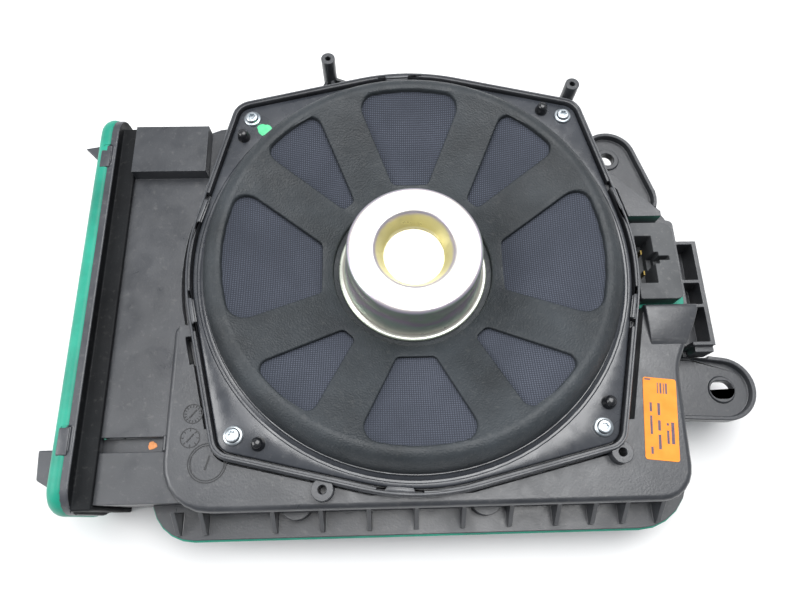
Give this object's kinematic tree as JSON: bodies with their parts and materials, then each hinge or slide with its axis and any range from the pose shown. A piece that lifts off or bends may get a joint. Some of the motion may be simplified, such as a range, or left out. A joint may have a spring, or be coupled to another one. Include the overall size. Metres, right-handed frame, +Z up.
{
  "type": "car subwoofer speaker",
  "caption": "Under-seat car subwoofer: shallow outward-motor driver with cloth-backed basket windows in a two-part enclosure with side duct and fixing ears.",
  "frame": {"origin": "on the base plane, under the driver axis", "axes": "+Z up along the driver axis towards the motor pot, +X to the connector side, -X to the duct mouth, -Y to the ribbed front ledge"},
  "size_m": [0.3673, 0.2643, 0.075],
  "materials": {
    "shell_plastic": "moulded grained ABS, satin",
    "frame_plastic": "moulded ABS, satin",
    "basket_plastic": "glass filled moulded plastic with a fine grain",
    "green_rubber": "foamed green sealing compound",
    "dust_cloth": "fine plain woven polyester",
    "black_foam": "closed cell foam",
    "black_rubber": "moulded butyl rubber",
    "cone_paper": "coated paper pulp",
    "former_film": "polyimide film",
    "copper_wire": "enamelled or braided copper",
    "spider_cloth": "resin set cotton",
    "zinc_steel": "drawn steel, yellow zinc plated",
    "magnet_metal": "nickel plated",
    "screw_zinc": "bright zinc plated",
    "connector_plastic": "moulded plastic",
    "contact_brass": "tinned brass",
    "strip_board": "laminate board",
    "red_insulation": "PVC insulation",
    "black_insulation": "PVC insulation",
    "orange_label": "printed film label",
    "green_paint": "paint dab",
    "orange_paint": "paint dab"
  },
  "bodies": {
    "enclosure": {"lower_shell": "shell_plastic", "upper_shell": "shell_plastic", "seam_seal": "green_rubber", "port_frame": "frame_plastic", "port_seal": "green_rubber", "basket": "basket_plastic", "window_cloth": "dust_cloth", "driver_gasket": "black_foam", "surround": "black_rubber", "spider": "spider_cloth", "magnet_pot": "zinc_steel", "magnet": "magnet_metal", "pole_plate": "magnet_metal", "driver_screws": "screw_zinc", "connector_block": "connector_plastic", "connector_seal": "green_rubber", "contact_positive": "contact_brass", "contact_negative": "contact_brass", "terminal_strip": "strip_board", "wire_positive": "red_insulation", "wire_negative": "black_insulation", "tinsel_positive": "copper_wire", "tinsel_negative": "copper_wire", "shell_screws": "screw_zinc", "label": "orange_label", "paint_dot": "green_paint", "inspection_mark": "orange_paint"},
    "cone_assembly": {"cone": "cone_paper", "dust_cap": "cone_paper", "coil_former": "former_film", "voice_coil": "copper_wire"}
  },
  "joints": [
    {"name": "cone_travel", "type": "slide", "parent": "enclosure", "child": "cone_assembly", "axis": [0, 0, 1], "range_m": [-0.005, 0.005], "stiffness_N_per_m": 2800, "deforming": ["surround", "spider", "tinsel_positive", "tinsel_negative"]}
  ]
}
